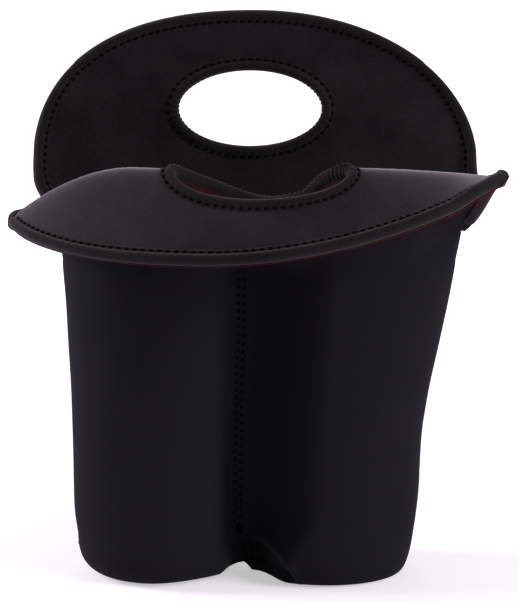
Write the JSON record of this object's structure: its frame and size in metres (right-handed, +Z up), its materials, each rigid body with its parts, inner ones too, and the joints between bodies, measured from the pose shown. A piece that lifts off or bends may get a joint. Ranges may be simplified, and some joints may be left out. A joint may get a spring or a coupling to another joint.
{
  "type": "bottle carrier",
  "caption": "Soft neoprene carrier with two round bottle pockets side by side, split by a stitched centre seam, and two handle flaps with oval hand holes; the front flap is folded over.",
  "frame": {"origin": "on the floor, under the centre seam that parts the two pockets, in the plane of the side seams", "axes": "+X to the right as seen from the front, +Y from the front flap to the back flap, +Z up"},
  "size_m": [0.2613, 0.1657, 0.3099],
  "materials": {
    "pocket_neoprene": "smooth knit face, very dark blue-black",
    "flap_neoprene": "fine knit face, dark warm grey-black",
    "facing_jersey": "dark red knit facing",
    "edge_binding": "folded elastic binding, dark grey-black",
    "pocket_thread": "dark sewing thread",
    "flap_thread": "grey sewing thread"
  },
  "bodies": {
    "pockets": {"front_panel": "pocket_neoprene", "back_panel": "pocket_neoprene", "left_base": "pocket_neoprene", "right_base": "pocket_neoprene", "centre_seam_stitching_front": "pocket_thread", "centre_seam_stitching_back": "pocket_thread", "centre_seam_bartacks": "pocket_thread", "left_side_seam_stitching": "pocket_thread", "right_side_seam_stitching": "pocket_thread", "left_base_stitching": "pocket_thread", "right_base_stitching": "pocket_thread", "left_corner_bartack": "pocket_thread", "right_corner_bartack": "pocket_thread"},
    "front_flap_rear": {"front_collar": "flap_neoprene", "front_collar_facing": "facing_jersey", "front_collar_binding_left": "edge_binding", "front_collar_binding_right": "edge_binding", "front_hole_binding_rear": "edge_binding", "front_collar_stitching": "flap_thread"},
    "front_flap_fore": {"front_brim": "flap_neoprene", "front_brim_facing": "facing_jersey", "front_brim_binding": "edge_binding", "front_hole_binding_fore": "edge_binding", "front_brim_stitching": "flap_thread", "front_hole_stitching": "flap_thread"},
    "back_flap": {"back_flap": "flap_neoprene", "back_flap_facing": "facing_jersey", "back_flap_binding": "edge_binding", "back_hole_binding": "edge_binding", "back_flap_stitching": "flap_thread", "back_hole_stitching": "flap_thread"}
  },
  "joints": [
    {"name": "front_flap_lean", "type": "hinge", "parent": "pockets", "child": "front_flap_rear", "pos_m": [0.0095, 0, 0.195], "axis": [-1, 0, 0], "range_deg": [0, 40]},
    {"name": "front_flap_fold", "type": "hinge", "parent": "front_flap_rear", "child": "front_flap_fore", "pos_m": [0.0095, -0.076, 0.2385], "axis": [-1, 0, 0], "range_deg": [0, 94]},
    {"name": "back_flap_lean", "type": "hinge", "parent": "pockets", "child": "back_flap", "pos_m": [0.0095, 0, 0.195], "axis": [1, 0, 0], "range_deg": [0, 14]}
  ]
}
